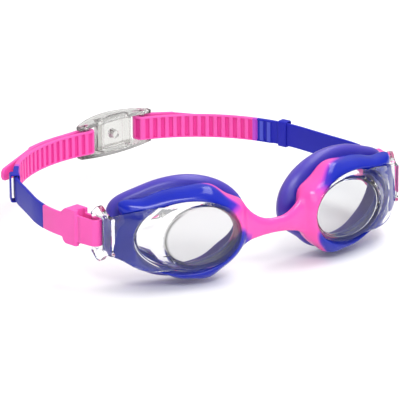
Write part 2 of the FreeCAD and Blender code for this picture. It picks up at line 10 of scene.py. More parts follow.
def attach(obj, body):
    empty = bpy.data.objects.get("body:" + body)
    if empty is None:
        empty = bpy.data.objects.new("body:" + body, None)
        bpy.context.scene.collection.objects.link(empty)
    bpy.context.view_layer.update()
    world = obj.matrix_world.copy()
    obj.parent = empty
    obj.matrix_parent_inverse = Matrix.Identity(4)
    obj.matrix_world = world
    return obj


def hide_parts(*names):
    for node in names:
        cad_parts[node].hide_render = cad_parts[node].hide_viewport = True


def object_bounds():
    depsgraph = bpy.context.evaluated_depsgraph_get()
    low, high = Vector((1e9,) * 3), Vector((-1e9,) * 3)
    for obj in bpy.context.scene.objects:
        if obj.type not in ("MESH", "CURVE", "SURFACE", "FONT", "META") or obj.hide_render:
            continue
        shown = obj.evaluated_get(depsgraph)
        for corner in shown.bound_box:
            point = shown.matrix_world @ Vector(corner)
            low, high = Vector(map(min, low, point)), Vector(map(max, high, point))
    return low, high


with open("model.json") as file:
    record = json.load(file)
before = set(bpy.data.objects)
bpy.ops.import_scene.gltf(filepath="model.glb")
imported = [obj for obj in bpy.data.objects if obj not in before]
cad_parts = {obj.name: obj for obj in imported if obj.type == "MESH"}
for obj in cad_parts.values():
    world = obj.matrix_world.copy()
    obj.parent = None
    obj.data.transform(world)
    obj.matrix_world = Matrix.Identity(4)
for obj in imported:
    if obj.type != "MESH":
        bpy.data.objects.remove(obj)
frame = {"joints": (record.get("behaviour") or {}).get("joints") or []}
cad_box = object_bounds()

MM = 0.001
NAMES = {-1: "left", 1: "right"}
JOINTS = {j["name"]: j for j in frame["joints"]}


# ---------------------------------------------------------------- camera, light, floor
MIDDLE = Vector((0.0, 0.03, 0.0))  # what the camera and the lights face, in meters
CAMERA_DISTANCE = 1.5


def add_object(name, data):
    thing = bpy.data.objects.new(name, data)
    bpy.context.scene.collection.objects.link(thing)
    return thing


def make_camera():
    """The photograph's view, from the front, the left and above."""
    azimuth, elevation, roll = math.radians(-29.48), math.radians(18.68), math.radians(-0.38)
    back = Vector((math.sin(azimuth) * math.cos(elevation), -math.cos(azimuth) * math.cos(elevation),
                   math.sin(elevation)))
    data = bpy.data.cameras.new("camera")
    data.sensor_width = 36.0
    data.lens = 315.9
    data.shift_x = -0.0311
    data.shift_y = -0.0377
    data.clip_start = 0.05
    data.clip_end = 20.0
    camera = add_object("camera", data)
    camera.location = MIDDLE + back * CAMERA_DISTANCE
    camera.rotation_mode = "QUATERNION"
    camera.rotation_quaternion = (-back).to_track_quat("-Z", "Y") @ Quaternion((0, 0, 1), roll)
    bpy.context.scene.camera = camera


def softbox(name, direction, distance, size, power):
    """A rectangular light that faces the middle of the object."""
    data = bpy.data.lights.new(name, "AREA")
    data.shape = "RECTANGLE"
    data.size, data.size_y = size
    data.energy = power
    light = add_object(name, data)
    toward = Vector(direction).normalized()
    light.location = MIDDLE + toward * distance
    light.rotation_mode = "QUATERNION"
    light.rotation_quaternion = toward.to_track_quat("Z", "Y")


def make_studio():
    """A pale floor and world, one long light above and two softer ones in front."""
    scene = bpy.context.scene
    scene.view_settings.view_transform = "Standard"
    world = bpy.data.worlds.new("studio")
    world.use_nodes = True
    tree = world.node_tree
    place = tree.nodes.new("ShaderNodeTexCoord")
    split = tree.nodes.new("ShaderNodeSeparateXYZ")
    tree.links.new(place.outputs["Generated"], split.inputs["Vector"])
    sky = color_ramp(tree, split.outputs["Z"],
                     [(0.0, (0.46, 0.46, 0.48)), (0.3, (0.52, 0.52, 0.54)), (0.62, (1.0, 1.0, 1.0))])
    background = tree.nodes["Background"]
    tree.links.new(sky, background.inputs["Color"])
    background.inputs["Strength"].default_value = 0.95
    scene.world = world
    softbox("overhead", (0.42, -0.10, 0.90), 0.9, (1.0, 0.34), 5.4)
    softbox("left_window", (-0.25, -0.71, 0.66), 1.1, (0.45, 0.30), 4.5)
    softbox("front_fill", (-0.30, -1.0, 0.30), 1.4, (0.8, 0.6), 3.5)
    mesh = bpy.data.meshes.new("floor")
    half, below = 3.0, 0.0015
    low = cad_box[0][2] - below
    corners = [(-half, -half, low), (half, -half, low), (half, half, low), (-half, half, low)]
    mesh.from_pydata(corners, [], [(0, 1, 2, 3)])
    floor = add_object("floor", mesh)
    floor.data.materials.append(plain_material("floor_paint", (0.88, 0.88, 0.88), 0.7))


# ---------------------------------------------------------------- materials
def new_material(name):
    material = bpy.data.materials.new(name)
    material.use_nodes = True
    tree = material.node_tree
    return material, tree, tree.nodes["Principled BSDF"]


def plain_material(name, color, roughness):
    material, _, shader = new_material(name)
    shader.inputs["Base Color"].default_value = (*color, 1.0)
    shader.inputs["Roughness"].default_value = roughness
    return material


def noise(tree, scale, detail=2.0):
    place = tree.nodes.new("ShaderNodeTexCoord")
    texture = tree.nodes.new("ShaderNodeTexNoise")
    texture.inputs["Scale"].default_value = scale
    texture.inputs["Detail"].default_value = detail
    tree.links.new(place.outputs["Object"], texture.inputs["Vector"])
    return texture.outputs["Fac"]


def span(tree, value, low, high):
    """Maps a 0 to 1 value to low to high."""
    node = tree.nodes.new("ShaderNodeMapRange")
    node.inputs["To Min"].default_value = low
    node.inputs["To Max"].default_value = high
    tree.links.new(value, node.inputs["Value"])
    return node.outputs["Result"]


def color_ramp(tree, value, stops):
    """Colors a 0 to 1 value by stops of (position, color)."""
    node = tree.nodes.new("ShaderNodeValToRGB")
    elements = node.color_ramp.elements
    for element, (position, color) in zip((elements[0], elements[1]), (stops[0], stops[-1])):
        element.position, element.color = position, (*color, 1.0)
    for position, color in stops[1:-1]:
        elements.new(position).color = (*color, 1.0)
    tree.links.new(value, node.inputs["Fac"])
    return node.outputs["Color"]


def vary(tree, color, value, low, high):
    """Darkens and lightens a color by a 0 to 1 value."""
    node = tree.nodes.new("ShaderNodeHueSaturation")
    tree.links.new(span(tree, value, low, high), node.inputs["Value"])
    tree.links.new(color, node.inputs["Color"])
    return node.outputs["Color"]


def blend_colors(tree, factor, first, second):
    """Mixes two colors, each a tuple or a socket."""
    node = tree.nodes.new("ShaderNodeMix")
    node.data_type = "RGBA"
    for index, color in ((6, first), (7, second)):
        if isinstance(color, tuple):
            node.inputs[index].default_value = (*color, 1.0)
        else:
            tree.links.new(color, node.inputs[index])
    tree.links.new(factor, node.inputs[0])
    return node.outputs[2]


def bump(tree, shader, height, strength, distance):
    node = tree.nodes.new("ShaderNodeBump")
    node.inputs["Strength"].default_value = strength
    node.inputs["Distance"].default_value = distance
    tree.links.new(height, node.inputs["Height"])
    tree.links.new(node.outputs["Normal"], shader.inputs["Normal"])


def attribute(tree, name):
    node = tree.nodes.new("ShaderNodeAttribute")
    node.attribute_name = name
    return node.outputs["Fac"]


def set_subsurface(shader, weight, radius, scale):
    shader.inputs["Subsurface Weight"].default_value = weight
    shader.inputs["Subsurface Radius"].default_value = radius
    shader.inputs["Subsurface Scale"].default_value = scale


def silicone(name, low, high, painted_light, seam, roughness, scatter, specular):
    """Moulded silicone: faintly cloudy, with one painted light color where the light attribute is 1 (painted
    shade in the cells of the pink, a painted highlight on the ribs of the blue) and one where "seam" is.
    """
    material, tree, shader = new_material(name)
    tone = blend_colors(tree, noise(tree, 90.0), low, high)
    tone = blend_colors(tree, attribute(tree, "painted_light"), tone, painted_light)
    tone = blend_colors(tree, attribute(tree, "seam"), tone, seam)
    tree.links.new(tone, shader.inputs["Base Color"])
    grain = noise(tree, 2600.0, 3.0)
    tree.links.new(span(tree, grain, roughness - 0.05, roughness + 0.05), shader.inputs["Roughness"])
    bump(tree, shader, grain, 0.06, 0.00002)
    shader.inputs["Specular IOR Level"].default_value = specular
    set_subsurface(shader, scatter, (1.0, 0.4, 0.6), 0.0012)
    return material


# Low, high, at the painted light attribute (painted shade in the pink cells, a painted highlight on the blue
# ribs), and at the seam of the two.
PINK = ((0.74, 0.075, 0.36), (0.82, 0.095, 0.42), (0.70, 0.030, 0.27), (0.42, 0.055, 0.50))
BLUE = ((0.008, 0.010, 0.33), (0.014, 0.017, 0.38), (0.062, 0.080, 0.49), (0.060, 0.075, 0.46))


def surround_material():
    """Two shots of silicone that run into each other: the tint attribute is 0 at blue, 1 at pink."""
    material, tree, shader = new_material("two_shot_silicone")
    tone = color_ramp(tree, attribute(tree, "tint"),
                      [(0.0, (0.0, 0.010, 0.34)), (0.3, (0.05, 0.012, 0.40)), (0.6, (0.42, 0.045, 0.44)),
                       (0.9, (0.78, 0.07, 0.37))])
    cloud = noise(tree, 120.0)
    tree.links.new(vary(tree, tone, cloud, 0.9, 1.08), shader.inputs["Base Color"])
    grain = noise(tree, 900.0, 3.0)
    tree.links.new(span(tree, grain, 0.12, 0.17), shader.inputs["Roughness"])
    bump(tree, shader, cloud, 0.02, 0.00003)
    shader.inputs["Specular IOR Level"].default_value = 0.38
    set_subsurface(shader, 0.05, (1.0, 0.5, 0.8), 0.001)
    return material


def skirt_material():
    """Thin silicone, deep blue at its root and paler and clearer towards the lip."""
    material, tree, shader = new_material("translucent_silicone")
    tone = color_ramp(tree, attribute(tree, "reach"),
                      [(0.0, (0.008, 0.008, 0.34)), (0.45, (0.075, 0.050, 0.42)), (1.0, (0.17, 0.12, 0.50))])
    cloud = noise(tree, 70.0)
    tree.links.new(vary(tree, tone, cloud, 0.92, 1.08), shader.inputs["Base Color"])
    tree.links.new(span(tree, noise(tree, 300.0), 0.26, 0.34), shader.inputs["Roughness"])
    bump(tree, shader, cloud, 0.05, 0.00006)
    shader.inputs["Transmission Weight"].default_value = 0.2
    shader.inputs["IOR"].default_value = 1.41
    set_subsurface(shader, 0.25, (1.0, 0.8, 1.2), 0.0015)
    return material


def clear_material(name, color, rough_low, rough_high, ior, ripple, edge=None):
    """Clear moulding with faint flow marks; the edge color takes over as the "edge" attribute nears 1, which
    the lenses use for a grey window tint and for a painted shade line along the window's outer edge.
    """
    material, tree, shader = new_material(name)
    cloud = noise(tree, 60.0)
    tone = blend_colors(tree, cloud, color, tuple(min(1.0, c * 1.02) for c in color))
    if edge:
        tone = blend_colors(tree, attribute(tree, "edge"), tone, edge)
    tree.links.new(tone, shader.inputs["Base Color"])
    tree.links.new(span(tree, noise(tree, 500.0), rough_low, rough_high), shader.inputs["Roughness"])
    bump(tree, shader, noise(tree, 140.0), ripple, 0.00003)
    shader.inputs["Transmission Weight"].default_value = 1.0
    shader.inputs["IOR"].default_value = ior
    shader.inputs["Specular IOR Level"].default_value = 0.3
    return material


# ---------------------------------------------------------------- mesh helpers
def to_object(name, points, faces):
    """A closed mesh from points in millimetres, with its faces turned outward."""
    mesh = bpy.data.meshes.new(name)
    mesh.from_pydata([tuple(float(c) * MM for c in p) for p in points], [], faces)
    work = bmesh.new()
    work.from_mesh(mesh)
    bmesh.ops.remove_doubles(work, verts=work.verts, dist=1e-7)
    bmesh.ops.recalc_face_normals(work, faces=work.faces)
    work.to_mesh(mesh)
    work.free()
    return add_object(name, mesh)


def skin(name, rings, ring_closed=False):
    """Joins rings of equal count, capping both ends unless the rings come round to the first."""
    rings = np.asarray(rings, float)
    count, around, _ = rings.shape
    faces = []
    for i in range(count if ring_closed else count - 1):
        j = (i + 1) % count
        for k in range(around):
            m = (k + 1) % around
            faces.append((i * around + k, i * around + m, j * around + m, j * around + k))
    if not ring_closed:
        faces.append(tuple(range(around)))
        faces.append(tuple((count - 1) * around + k for k in range(around)))
    return to_object(name, rings.reshape(-1, 3), faces)


def prism_faces(count):
    """Both ends and the walls between them, for two outlines of count points each."""
    walls = [(k, (k + 1) % count, count + (k + 1) % count, count + k) for k in range(count)]
    return [tuple(range(count)), tuple(range(count, 2 * count))] + walls


def prism(name, outline, low, high, place):
    """An upright solid on a plan outline in millimetres."""
    points = [place @ Vector((x, y, z)) for z in (low, high) for x, y in outline]
    return to_object(name, points, prism_faces(len(outline)))


def finish_mesh(thing, angle=35.0):
    """Smooth shading, with edges kept sharp beyond the angle in degrees."""
    thing.data.shade_smooth()
    thing.data.set_sharp_from_angle(angle=math.radians(angle))


def apply_modifier(thing, kind, **settings):
    modifier = thing.modifiers.new(kind.lower(), kind)
    for key, value in settings.items():
        setattr(modifier, key, value)
    graph = bpy.context.evaluated_depsgraph_get()
    made = bpy.data.meshes.new_from_object(thing.evaluated_get(graph))
    thing.modifiers.clear()
    old = thing.data
    thing.data = made
    bpy.data.meshes.remove(old)
    return thing


def combine(base, tool, operation):
    """Applies a boolean, uses up the tool and cleans the seam."""
    apply_modifier(base, "BOOLEAN", object=tool, operation=operation, solver="EXACT", use_self=True)
    bpy.data.objects.remove(tool)
    work = bmesh.new()
    work.from_mesh(base.data)
    bmesh.ops.remove_doubles(work, verts=work.verts, dist=2e-6)
    bmesh.ops.dissolve_degenerate(work, edges=work.edges, dist=1e-6)
    work.to_mesh(base.data)
    work.free()
    return base


def join(name, things):
    """One object from several, which may overlap."""
    work = bmesh.new()
    for thing in things:
        work.from_mesh(thing.data)
        bpy.data.objects.remove(thing)
    mesh = bpy.data.meshes.new(name)
    work.to_mesh(mesh)
    work.free()
    return add_object(name, mesh)


def mould(thing, voxel, passes):
    """Fuses overlapping solids into one moulding and rounds where they meet."""
    apply_modifier(thing, "REMESH", mode="VOXEL", voxel_size=voxel * MM)
    apply_modifier(thing, "SMOOTH", factor=0.5, iterations=passes)
    thing.data.shade_smooth()


def catmull(points, steps, closed=False):
    """A smooth run of rows through the given rows."""
    points = np.asarray(points, float)
    count = len(points)
    made = []
    for i in range(count if closed else count - 1):
        def pick(k):
            return points[k % count] if closed else points[min(max(k, 0), count - 1)]
        a, b, c, d = pick(i - 1), pick(i), pick(i + 1), pick(i + 2)
        for step in range(steps):
            t = step / steps
            made.append(0.5 * (2 * b + (c - a) * t + (2 * a - 5 * b + 4 * c - d) * t ** 2
                               + (3 * b - a - 3 * c + d) * t ** 3))
    if not closed:
        made.append(points[-1])
    return np.array(made)


# ---------------------------------------------------------------- eye pieces
EYE = {"across": 35.3, "back": -23.9, "up": -1.0, "wrap": math.radians(8.0)}
AROUND = 160
ANGLES = np.linspace(0.0, 2 * np.pi, AROUND, endpoint=False)


def to_world(side, across, back, up):
    """From an eye's own frame: outward, back from the window and up."""
    wrap = EYE["wrap"]
    x = side * (EYE["across"] + across * math.cos(wrap) - back * math.sin(wrap))
    y = EYE["back"] + across * math.sin(wrap) + back * math.cos(wrap)
    return np.stack(np.broadcast_arrays(x, y, EYE["up"] + up), -1)


def swell(lobes):
    """How far the outline stands out at each angle, from lobes (degrees, height, width)."""
    total = np.zeros(AROUND)
    for centre, height, width in lobes:
        away = (np.degrees(ANGLES) - centre + 180.0) % 360.0 - 180.0
        total += height * np.exp(-(away / width) ** 2)
    return total


def eye_ring(side, row, lobes=(), strength=1.0, sweep=0.0):
    """One outline: row is offset, depth, outer, nasal, top, bottom half sizes, rise and yaw."""
    offset, depth, outer, nasal, top, bottom, rise, yaw = row
    cos, sin = np.cos(ANGLES), np.sin(ANGLES)
    wide = np.where(cos > 0, outer, nasal) * cos
    tall = np.where(sin > 0, top, bottom) * sin
    radius = np.hypot(wide, tall)
    grown = 1.0 + strength * swell(lobes) / radius
    wide, tall = wide * grown, tall * grown
    turn = math.radians(yaw)
    back = depth + wide * math.sin(turn) + sweep * np.clip(cos, 0.0, 1.0) ** 2
    return to_world(side, offset + wide * math.cos(turn), back, rise + tall)


SHELL_LOBES = [(40.0, 5.6, 9.5), (113.0, 2.0, 14.0), (148.0, 2.6, 12.0), (-16.0, 2.4, 11.0),
               (-66.0, -2.6, 15.0), (-111.0, 1.7, 11.0)]
# Offset, depth, outer, nasal, top, bottom, rise, yaw, share of the lobes.
SHELL_ROWS = [
    (5.1, 4.2, 22.7, 22.3, 14.3, 16.4, 0.0, 9.6, 0.0),
    (5.1, 3.4, 23.2, 22.8, 14.8, 16.9, 0.0, 9.6, 0.0),
    (5.1, 3.7, 24.6, 24.0, 16.2, 17.9, 0.0, 9.2, 0.3),
    (5.1, 6.2, 27.2, 26.4, 18.5, 19.7, 0.0, 7.6, 0.8),
    (5.0, 9.8, 28.6, 27.6, 19.4, 20.2, 0.0, 5.8, 1.0),
    (5.0, 11.8, 28.0, 27.0, 19.0, 19.6, 0.0, 5.0, 0.95),
    (5.0, 12.8, 25.8, 25.2, 17.6, 17.9, 0.0, 5.0, 0.5),
    (4.8, 12.9, 23.4, 23.4, 15.8, 15.8, 0.0, 6.0, 0.1),
    (4.6, 12.0, 21.8, 21.8, 14.2, 14.2, 0.0, 7.6, 0.0),
    (4.6, 8.0, 21.6, 21.6, 14.0, 14.0, 0.0, 9.0, 0.0),
    (4.9, 5.2, 21.9, 21.6, 13.9, 14.9, 0.0, 9.6, 0.0),
]
SKIRT_LOBES = [(33.0, 2.8, 16.0), (-6.0, 1.6, 18.0), (-138.0, -2.2, 17.0), (-50.0, -0.8, 14.0)]
# The last two are how far along the skirt the row lies, and its share of the sweep back at the temple.
SKIRT_ROWS = [
    (5.0, 11.4, 25.4, 25.0, 17.4, 17.6, 0.0, 5.0, 0.3, 0.0, 0.0),
    (4.9, 12.9, 26.4, 26.0, 18.2, 18.3, 0.0, 4.6, 0.5, 0.0, 0.3),
    (4.6, 14.2, 29.2, 28.4, 20.6, 20.4, 0.3, 3.0, 0.9, 0.25, 0.6),
    (4.3, 16.0, 30.6, 29.9, 21.9, 21.6, 0.5, 1.9, 1.0, 0.55, 1.0),
    (4.3, 18.0, 30.5, 29.8, 21.7, 21.3, 0.5, 1.9, 1.0, 0.8, 1.2),
    (4.3, 20.0, 28.4, 28.4, 20.1, 19.8, 0.4, 1.9, 0.9, 1.0, 1.2),
    (4.3, 20.9, 25.8, 26.8, 18.4, 18.2, 0.3, 1.9, 0.7, 1.0, 1.2),
    (4.3, 20.3, 24.4, 26.1, 17.7, 17.5, 0.3, 1.9, 0.7, 1.0, 1.2),
    (4.3, 19.2, 25.9, 27.0, 18.7, 18.5, 0.3, 1.9, 0.8, 0.8, 1.2),
    (4.3, 17.4, 28.4, 28.2, 20.1, 19.8, 0.4, 1.9, 0.9, 0.6, 1.0),
    (4.5, 15.4, 28.0, 27.4, 19.5, 19.3, 0.3, 2.6, 0.8, 0.3, 0.6),
    (4.9, 13.6, 25.0, 24.6, 17.0, 17.0, 0.0, 4.2, 0.4, 0.0, 0.3),
    (5.0, 12.6, 23.6, 23.2, 15.9, 15.9, 0.0, 5.0, 0.2, 0.0, 0.0),
    (5.0, 11.4, 23.6, 23.2, 15.9, 15.9, 0.0, 5.0, 0.2, 0.0, 0.0),
]
TEMPLE_SWEEP = 2.6


def eye_loft(name, side, rows, lobes, steps):
    """A closed ring of section round one eye, with more rows between those given."""
    dense = catmull(rows, steps, closed=True)
    rings = [eye_ring(side, row[:8], lobes, row[8], TEMPLE_SWEEP * row[10] if len(row) > 10 else 0.0)
             for row in dense]
    return skin(name, rings, ring_closed=True)


BRIDGE_FRONT, BRIDGE_UP = -22.6, -2.1
# Half of the nose bridge: across, height above and below its middle, half depth, back of its front.
BRIDGE_ROWS = [(0.0, 3.3, 3.3, 1.9, 0.0), (4.0, 3.6, 3.5, 1.95, 0.15), (8.0, 5.3, 4.2, 2.1, 0.6),
               (11.5, 8.6, 5.4, 2.4, 1.1), (14.5, 12.2, 7.4, 3.0, 1.8), (17.5, 14.6, 9.8, 3.4, 2.6)]


def make_bridge():
    half = catmull(BRIDGE_ROWS, 6)
    rows = [(-r[0], *r[1:]) for r in half[:0:-1]] + [tuple(r) for r in half]
    turn = np.linspace(0.0, 2 * np.pi, 64, endpoint=False)
    rings = []
    for across, above, below, thick, back in rows:
        tall = np.where(np.sin(turn) > 0, above, below)
        rings.append(np.stack([np.full_like(turn, across), BRIDGE_FRONT + back + thick * np.cos(turn),
                               BRIDGE_UP + tall * np.sin(turn)], -1))
    return skin("bridge", rings)


def smoothstep(x):
    x = np.clip(x, 0.0, 1.0)
    return x * x * (3 - 2 * x)


def read_points(thing):
    """Its points in millimetres."""
    flat = np.empty(len(thing.data.vertices) * 3)
    thing.data.vertices.foreach_get("co", flat)
    return flat.reshape(-1, 3) / MM


def to_eye(points):
    """World points to the nearer eye's own frame: side, outward, back from the window, up."""
    x, y, z = points.T
    side = np.where(x < 0, -1, 1)
    wrap = EYE["wrap"]
    east, north = side * x - EYE["across"], y - EYE["back"]
    return (side, east * math.cos(wrap) + north * math.sin(wrap),
            north * math.cos(wrap) - east * math.sin(wrap), z - EYE["up"])


def paint(thing, name, values):
    """Stores one value a point, for the materials to read."""
    layer = thing.data.attributes.new(name, "FLOAT", "POINT")
    layer.data.foreach_set("value", np.asarray(values, float))


WING_SEAT_GAP = 0.12
WING_SEAT_END = 36.0


def seat_under_wing(thing):
    """Presses the surround back where the clear wing lies on it."""
    points = read_points(thing)
    side, across, back, up = to_eye(points)
    top, bottom = wing_edges(across)
    inside = smoothstep((np.minimum(top - up, up + bottom) + 0.5) / 1.0) * smoothstep((across - 12.0) / 3.0)
    rear = wing_back(across, up) + WING_HALF + WING_SEAT_GAP
    pressed = np.where(back < rear, back + (rear - back) * inside, back)
    moved = np.where(across < WING_SEAT_END, pressed, back)
    world = np.empty_like(points)
    for sign in (-1, 1):
        mine = side == sign
        world[mine] = to_world(sign, across[mine], moved[mine], up[mine])
    thing.data.vertices.foreach_set("co", (world * MM).ravel())
    thing.data.update()


# Where pink starts past the brow, for the left and the right eye: angle in degrees, its slant in degrees
# for each millimetre of depth, and the width of the blend in degrees.
TINT_START, TINT_SLANT, TINT_BLEND = (104.0, 84.0), (5.5, 6.4), (22.0, 34.0)


def paint_tint(thing):
    """Pink over the bridge and the nasal side of each surround, running into blue."""
    points = read_points(thing)
    side, across, back, up = to_eye(points)
    angle = np.degrees(np.arctan2(up, across - 5.0))
    turned = np.where(angle < 0, angle + 360.0, angle)
    start, slant, blend = (np.where(side < 0, *pair) for pair in (TINT_START, TINT_SLANT, TINT_BLEND))
    from_top = smoothstep((turned - start - slant * (9.0 - np.clip(back, 2.0, 9.0))) / blend)
    depth = 6.0 - np.clip(back, 0.0, 6.0)
    low_edge = np.where(side < 0, 200.0 - 3.0 * depth, 242.0 - 6.5 * depth)
    pink = from_top * (1.0 - smoothstep((turned - low_edge + 12.0) / 16.0))
    bridge = 1.0 - smoothstep((np.abs(points[:, 0]) - 10.5) / 3.0)
    paint(thing, "tint", np.maximum(pink, bridge))


def make_surround():
    """Both shells and the bridge as one moulding, eased where the bridge leaves the shells."""
    shells = [eye_loft(f"shell_{side}", side, SHELL_ROWS, SHELL_LOBES, 5) for side in (-1, 1)]
    whole = join("two_shot_surround", shells + [make_bridge()])
    mould(whole, 0.42, 9)
    root, reach, fade = 14.5, 6.5, 4.0
    distance = np.abs(np.abs(read_points(whole)[:, 0]) - root)
    group = whole.vertex_groups.new(name="bridge_root")
    for index in np.nonzero(distance < reach)[0]:
        group.add([int(index)], float(smoothstep((reach - distance[index]) / fade)), "REPLACE")
    apply_modifier(whole, "SMOOTH", factor=0.5, iterations=60, vertex_group="bridge_root")
    seat_under_wing(whole)
    paint_tint(whole)
    whole.data.materials.append(surround_material())
    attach(whole, "frame")
    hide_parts("left_shell", "right_shell", "nose_bridge")


def make_skirts():
    """The thin flared seal behind each shell."""
    material = skirt_material()
    steps = 4
    reach = catmull(SKIRT_ROWS, steps, closed=True)[:, 9]
    for side in (-1, 1):
        skirt = eye_loft(f"{NAMES[side]}_skirt", side, SKIRT_ROWS, SKIRT_LOBES, steps)
        paint(skirt, "reach", np.repeat(reach, AROUND))
        finish_mesh(skirt, 80.0)
        skirt.data.materials.append(material)
        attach(skirt, "frame")
        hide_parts(f"{NAMES[side]}_seal")


# ---------------------------------------------------------------- lenses
# Offset, depth, half width, half height, rise, yaw: the cup's outside from the window back, then its inside.
CUP_OUT = [(0.0, 0.0, 17.4, 13.6, 0.2, 0.0), (0.05, 0.12, 17.9, 14.0, 0.2, 0.3),
           (0.25, 0.5, 18.3, 14.3, 0.2, 1.0), (0.5, 0.8, 18.7, 14.4, 0.2, 1.6),
           (1.5, 1.7, 19.8, 14.7, 0.1, 3.7), (3.2, 2.9, 21.5, 15.0, 0.0, 6.6),
           (4.5, 4.0, 22.5, 15.5, -0.4, 8.7), (4.9, 4.3, 22.9, 16.0, -0.6, 9.1),
           (5.0, 4.7, 23.1, 16.1, -0.6, 9.6), (5.0, 5.3, 23.0, 16.0, -0.6, 9.6),
           (4.9, 5.6, 22.5, 15.5, -0.4, 9.6), (4.8, 8.6, 22.3, 15.2, 0.0, 9.6)]
CUP_IN = [(0.0, 1.7, 15.7, 12.0, 0.2, 0.0), (0.1, 1.85, 16.3, 12.5, 0.2, 0.3),
          (0.4, 2.3, 16.8, 12.8, 0.2, 1.2), (1.5, 3.4, 18.1, 13.1, 0.1, 3.7),
          (3.2, 4.8, 19.8, 13.5, 0.0, 6.8), (4.6, 6.4, 20.7, 13.7, 0.0, 9.6),
          (4.8, 8.5, 20.7, 13.6, 0.0, 9.6)]


def cup_rings(side, rows):
    """One face of the cup from the middle of the window outward."""
    first = rows[0]
    shares = (0.02, 0.35, 0.7, 0.82, 0.86, 0.93, 0.98)
    filled = [(*first[:2], first[2] * s, first[3] * s, *first[4:]) for s in shares] + list(rows)
    return [eye_ring(side, (offset, depth, wide, wide, tall, tall, rise, yaw))
            for offset, depth, wide, tall, rise, yaw in filled]


EAR = {"bar_across": 71.0, "bar_back": 2.5, "turn": math.radians(14.0) + EYE["wrap"], "neck": 10.5}


def bar_in_eye():
    """The temple bar's place in the eye's own frame: outward and back."""
    east, north = EAR["bar_across"] - EYE["across"], EAR["bar_back"] - EYE["back"]
    wrap = EYE["wrap"]
    return (east * math.cos(wrap) + north * math.sin(wrap), north * math.cos(wrap) - east * math.sin(wrap))


WING_HALF = 0.85


def wing_route():
    """The wing from its root on the cup to the ear's neck: across, back, top edge, bottom edge."""
    bar_across, bar_back = bar_in_eye()
    neck = (bar_across - EAR["neck"] * math.sin(EAR["turn"]) * 0.9,
            bar_back - EAR["neck"] * math.cos(EAR["turn"]) * 0.9)
    return catmull([(6.0, 2.2, 13.6, 13.8), (14.0, 2.7, 13.7, 14.2), (20.0, 3.8, 13.2, 13.8),
                    (26.0, 6.1, 12.2, 12.2), (31.0, 9.3, 10.9, 9.4), (*neck, 9.3, 7.3)], 8)


def wing_edges(across):
    """Heights of the wing's top and bottom edges."""
    route = wing_route()
    return np.interp(across, route[:, 0], route[:, 2]), np.interp(across, route[:, 0], route[:, 3])


def wing_back(across, up):
    """How far back the middle of the wing lies; its lower root and its top edge lean back."""
    route = wing_route()
    low = 1.6 * smoothstep((-up - 2.0) / 12.0) * (1.0 - smoothstep((across - 12.0) / 16.0))
    high = 1.5 * np.clip((up - 5.5) / 7.5, 0.0, 1.2) ** 2 * smoothstep((across - 8.0) / 10.0)
    return np.interp(across, route[:, 0], route[:, 1]) + low + high


def make_wing(name, side):
    """The clear blade from the cup to the ear, with rounded edges."""
    route = wing_route()
    rings = []
    for i, (across, _, top, bottom) in enumerate(route):
        ahead, behind = route[min(i + 1, len(route) - 1)], route[max(i - 1, 0)]
        run = np.array([ahead[0] - behind[0], ahead[1] - behind[1]])
        normal = np.array([-run[1], run[0]]) / np.hypot(*run)
        heights = np.concatenate([[-bottom, -bottom + 0.12, -bottom + 0.4, -bottom + 0.8],
                                  np.linspace(-bottom + 2, top - 2, 9),
                                  [top - 0.8, top - 0.4, top - 0.12, top]])
        edge = np.minimum(heights + bottom, top - heights)
        shift = WING_HALF * np.sqrt(np.clip(1 - (1 - np.clip(edge / 0.8, 0, 1)) ** 2, 0.04, 1))
        middle = wing_back(np.full_like(heights, across), heights)
        front = to_world(side, across - normal[0] * shift, middle - normal[1] * shift, heights)
        rear = to_world(side, across + normal[0] * shift, middle + normal[1] * shift, heights)
        rings.append(np.concatenate([front, rear[::-1]]))
    return skin(name, rings)


def make_ear(name, side):
    """The C-shaped plate that holds the strap bar: x runs forward from the bar."""
    neck = EAR["neck"]
    upper = catmull([(neck + 1.0, 8.2), (neck * 0.80, 8.3), (6.0, 9.6), (4.3, 11.3), (3.0, 11.9), (1.6, 11.4),
                     (-0.2, 9.8), (-1.5, 8.6)], 5).tolist()
    half = 7.3
    notch = [(-1.5, half), (4.8, half), (5.4, half - 0.7), (5.4, 0.7 - half), (4.8, -half), (-1.5, -half)]
    outline = upper + notch + [(x, -z) for x, z in reversed(upper)]
    bar_across, bar_back = bar_in_eye()
    turn = EAR["turn"]
    thick, bar_radius, bar_end = 1.3, 1.5, 0.6
    points = []
    for shift in (-thick, thick):
        for x, z in outline:
            across = bar_across - x * math.sin(turn) - shift * math.cos(turn)
            back = bar_back - x * math.cos(turn) + shift * math.sin(turn)
            points.append(to_world(side, across, back, z - EYE["up"]))
    plate = to_object(name, points, prism_faces(len(outline)))
    apply_modifier(plate, "BEVEL", width=0.4 * MM, segments=3, limit_method="ANGLE",
                   angle_limit=math.radians(50))
    around = np.linspace(0.0, 2 * np.pi, 40, endpoint=False)
    rings = []
    for z in (-half - bar_end, half + bar_end):
        rings.append(np.stack([side * EAR["bar_across"] + bar_radius * np.cos(around),
                               EAR["bar_back"] + bar_radius * np.sin(around),
                               np.full_like(around, z)], -1))
    return combine(plate, skin(f"{name}_bar", rings), "UNION")


def mirrored(thing, name):
    """The same moulding for the other eye."""
    mesh = thing.data.copy()
    mesh.name = name
    mesh.transform(Matrix.Scale(-1.0, 4, (1.0, 0.0, 0.0)))
    mesh.flip_normals()
    return add_object(name, mesh)


WINDOW_SHADE = 0.46


